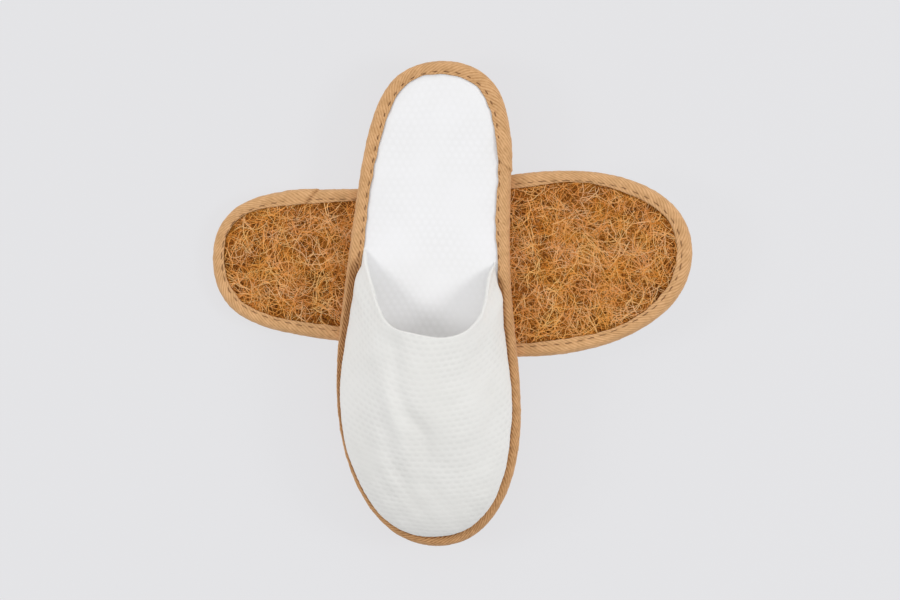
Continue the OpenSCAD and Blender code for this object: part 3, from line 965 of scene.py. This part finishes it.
# Soft creases and ridges of each upper: points in the slipper's frame, height and half width.
RIGHT_FOLDS = [
    ([(-27, -20), (-22, -27), (-19, -50), (-13, -64), (-3, -76), (-2, -94), (-8, -118)], -1.4, 4.6),
    ([(-33, -48), (-30, -62), (-26, -77), (-23, -94), (-15, -107), (-9, -120)], -1.1, 4.4),
    ([(-40, -70), (-37, -92), (-26, -112)], -0.6, 4.8),
    ([(12, -60), (10, -84), (3, -108)], -0.35, 6.0),
    ([(34, -42), (37, -66), (33, -92)], -0.4, 5.0),
    ([(-27, -46), (-24, -60), (-17, -77), (-12, -96)], 0.8, 4.0),
    ([(-34, -16), (-34, -36)], 0.5, 5.0),
]
LEFT_FOLDS = [
    ([(-20, -8), (-26, -40), (-30, -70)], -1.8, 4.0),
    ([(6, -14), (2, -50), (8, -84)], -1.4, 5.0),
    ([(30, -10), (34, -44), (30, -80)], -1.8, 4.5),
    ([(-40, -30), (-30, -60), (-34, -90)], -1.2, 5.0),
    ([(-8, -20), (-12, -60), (-10, -100)], 0.6, 5.0),
]
# Height and size of the small uneven folds all over.
SOFT_FOLDS = ((0.28, 42), (0.12, 17))


def fold_height(x, y, folds):
    """The folds' height at each point, fading at the ends of each fold."""
    total = np.zeros(x.shape)
    for line, height, width in folds:
        r, share = distance_to_line(x, y, line)
        ends = np.sin(math.pi * np.clip(0.06 + 0.88 * share, 0, 1)) ** 0.5
        total += height * ends * bell(r, 0, width)
    return total


def drape_upper(side, seed):
    """The upper's skin with its folds: points, normals, and millimetres across and along the cloth."""
    squashed = side == "left"
    base, across_mm, along_mm = upper_base(SQUASHED_H if squashed else CROWN_H, squashed)
    normal = grid_normals(base)
    if normal[-1, UPPER_COLUMNS // 2, 2] < 0:
        normal = -normal
    x, y = base[..., 0], base[..., 1]
    height = base[..., 2] - COVER_TOP
    folds = fold_height(x, y, LEFT_FOLDS if squashed else RIGHT_FOLDS)
    folds = folds + mixed_waves(across_mm, along_mm, SOFT_FOLDS, seed)
    near_foot = np.exp(-height / 5.0) * smoothstep(0.2, 2, height)
    gathers = 0.3 * waves(across_mm * 0.2, along_mm, 9, seed + 2) * near_foot
    # All rows meet at the toe tip, so the skin stays smooth there.
    from_toe = smoothstep(0, 0.25, np.linspace(0, 1, UPPER_ROWS))[:, None]
    drape = (folds * smoothstep(2, 12, height) + gathers) * from_toe
    if squashed:
        clear = np.clip((squash_ceiling(x, y) - base[..., 2]) / 4.0, 0, 1)
        drape = np.where(drape > 0, drape * clear, drape)
    return base + normal * drape[..., None], normal, across_mm, along_mm


def rolled_rim(skin, normal):
    """Rows that carry the skin round the throat's rim and back inside, as a hem over the lining."""
    tangent = skin[-1] - skin[-4]
    tangent /= np.linalg.norm(tangent, axis=-1, keepdims=True)
    n = normal[-1]
    column = np.arange(UPPER_COLUMNS)[:, None]
    from_corner = np.minimum(column, column[::-1]) * RIM_COLUMN_MM
    r = RIM_R * (0.35 + 0.65 * smoothstep(0, 6, from_corner))
    angles = np.linspace(0, math.pi, RIM_STEPS + 1)[1:]
    roll = [skin[-1] - n * r + r * (n * math.cos(a) + tangent * math.sin(a)) for a in angles]
    inside_lining = SHELL_T + PADDING_T + LINING_T + 0.15
    hem = []
    for k in range(1, HEM_STEPS + 1):
        depth = 2 * r + (inside_lining - 2 * r) * smoothstep(0, 1, k / HEM_STEPS)
        hem.append(skin[-1 - 2 * k] - normal[-1 - 2 * k] * depth)
    return np.stack(roll), np.stack(hem)


def make_upper(side, seed):
    """The upper's shell with its weave and its rolled rim, and the padding and lining inside it."""
    skin, normal, across_mm, along_mm = drape_upper(side, seed)
    roll, hem = rolled_rim(skin, normal)
    full = np.concatenate([skin, roll, hem])
    past_rim = np.linalg.norm(np.diff(full[UPPER_ROWS - 1:], axis=0), axis=-1).cumsum(0)
    along = np.concatenate([along_mm, along_mm[-1] + past_rim])
    across = np.concatenate([across_mm, np.broadcast_to(across_mm[-1], past_rim.shape)])
    x, y = full[..., 0], full[..., 1]
    u = across + 0.4 * waves(x, y, 38, seed + 3)
    v = along + 0.4 * waves(x, y, 38, seed + 4)
    relief = waffle(u, v, *WAFFLE_MM)
    # The weave is pressed flat at the foot and at the toe's tip.
    strength = np.clip(0.85 + 0.2 * waves(x, y, 34, seed + 5), 0.4, 1.2)
    strength = strength * smoothstep(0, 1.4, full[..., 2] - COVER_TOP)
    strength = strength * smoothstep(0.005, 0.03, np.arange(len(full)) / UPPER_ROWS)[:, None]
    outward_normal = grid_normals(full)
    if (outward_normal[:UPPER_ROWS] * normal).sum() < 0:
        outward_normal = -outward_normal
    outer = full + outward_normal * (strength * PIT_MM * (relief - 1))[..., None]
    if side == "left":
        ceiling = squash_ceiling(outer[..., 0], outer[..., 1])
        outer[..., 2] = np.minimum(outer[..., 2], ceiling - CLOTH_ABOVE_FLOOR)
    fabric = np.stack([u, v, 1 - strength * (1 - relief)], -1).reshape(-1, 3)

    # The shell closes on a coarser face against the padding, which ends where the hem does.
    hem_row = UPPER_ROWS - 1 - 2 * HEM_STEPS
    coarse_rows = (len(full) - 1) // LAYER_STEP + 1
    rows = np.linspace(0, hem_row, coarse_rows).round().astype(int)
    inner = (skin - normal * SHELL_T)[rows][:, ::LAYER_STEP]
    points, faces = closed_grid(outer, inner)
    shell = make_mesh(f"{side}_waffle_upper", side, points, faces, UPPER_CLOTH, fabric)
    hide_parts(f"{side}_upper_shell")

    # Padding and lining follow the same skin, inside the shell, and end under the hem.
    last = (hem_row // LAYER_STEP + 1) * LAYER_STEP + 1
    coarse, coarse_normal = (grid[:last:LAYER_STEP, ::LAYER_STEP] for grid in (skin, normal))
    behind_shell, behind_padding = SHELL_T + PADDING_T, SHELL_T + PADDING_T + LINING_T
    for name, node, slot, material, outside, inside in (
        ("upper_foam", "upper_padding", "foam", FOAM, SHELL_T, behind_shell),
        ("upper_lining_cloth", "upper_lining", "lining", LINING_CLOTH, behind_shell, behind_padding),
    ):
        outer_face = coarse - coarse_normal * (outside + LAYER_GAP)
        inner_face = coarse - coarse_normal * (inside - LAYER_GAP)
        piece = make_mesh(f"{side}_{name}", side, *closed_grid(outer_face, inner_face), material)
        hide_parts(f"{side}_{node}")


# ---- the pair
def make_slipper(side, seed):
    """One slipper's pieces. Its sealed-in midsole and cushion keep their CAD shape."""
    make_coir(side, seed)
    make_insole(side, seed + 100)
    make_tape(side, seed + 200)
    make_stitches(side, seed + 300)
    make_upper(side, seed + 400)
    for node in ("midsole", "insole_cushion"):
        inner_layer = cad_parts[f"{side}_{node}"]
        inner_layer.data.materials.clear()
        inner_layer.data.materials.append(FOAM)


make_slipper("left", 1000)
make_slipper("right", 5000)


# ---- stage
def make_floor():
    """A pale, slightly glowing table, which keeps the shadows faint."""
    half = 3.0
    corners = [(-half, -half, 0), (half, -half, 0), (half, half, 0), (-half, half, 0)]
    mesh = bpy.data.meshes.new("floor")
    mesh.from_pydata(corners, [], [(0, 1, 2, 3)])
    floor = add_object("floor", mesh)
    surface = Surface("pale_floor", 0.9, specular=0.1)
    surface.inputs["Base Color"].default_value = (0.10, 0.10, 0.105, 1)
    surface.inputs["Emission Color"].default_value = (1.0, 1.0, 1.02, 1)
    surface.inputs["Emission Strength"].default_value = 0.678
    mesh.materials.append(surface.material)


def add_softbox(name, place, size, power):
    """A round softbox at a place, aimed at the slippers."""
    light = bpy.data.lights.new(name, "AREA")
    light.shape = "DISK"
    light.size = size
    light.energy = power
    lamp = add_object(name, light)
    lamp.location = place
    lamp.rotation_euler = (-Vector(place)).to_track_quat("-Z", "Y").to_euler()


def make_world(strength, from_heel):
    """Even light from all around, a little stronger from the upper slipper's heel side."""
    world = bpy.data.worlds.new("studio")
    sky = Graph(world)
    background = sky.nodes["Background"]
    background.inputs["Color"].default_value = (1.0, 1.0, 1.0, 1)
    split = sky.add("ShaderNodeSeparateXYZ")
    sky.links.new(sky.add("ShaderNodeTexCoord").outputs["Generated"], split.inputs[0])
    slope = sky.math("MULTIPLY", split.outputs[1], from_heel)
    sky.links.new(sky.math("ADD", slope, strength), background.inputs["Strength"])
    bpy.context.scene.world = world


def make_camera():
    """A long lens straight above the pair."""
    camera = bpy.data.cameras.new("camera")
    camera.sensor_width = 36
    camera.lens = 99.6
    camera.clip_start, camera.clip_end = 0.1, 20
    eye = add_object("camera", camera)
    eye.location = (-0.0003, 0.0021, 1.5)
    bpy.context.scene.camera = eye


make_floor()
make_world(0.66, 0.32)
add_softbox("right_softbox", (1.35, -0.05, 1.25), 0.55, 8.5)
add_softbox("left_softbox", (-1.35, -0.05, 1.25), 0.55, 6.5)
make_camera()
bpy.context.scene.view_settings.view_transform = "Standard"
bpy.context.scene.view_settings.look = "None"
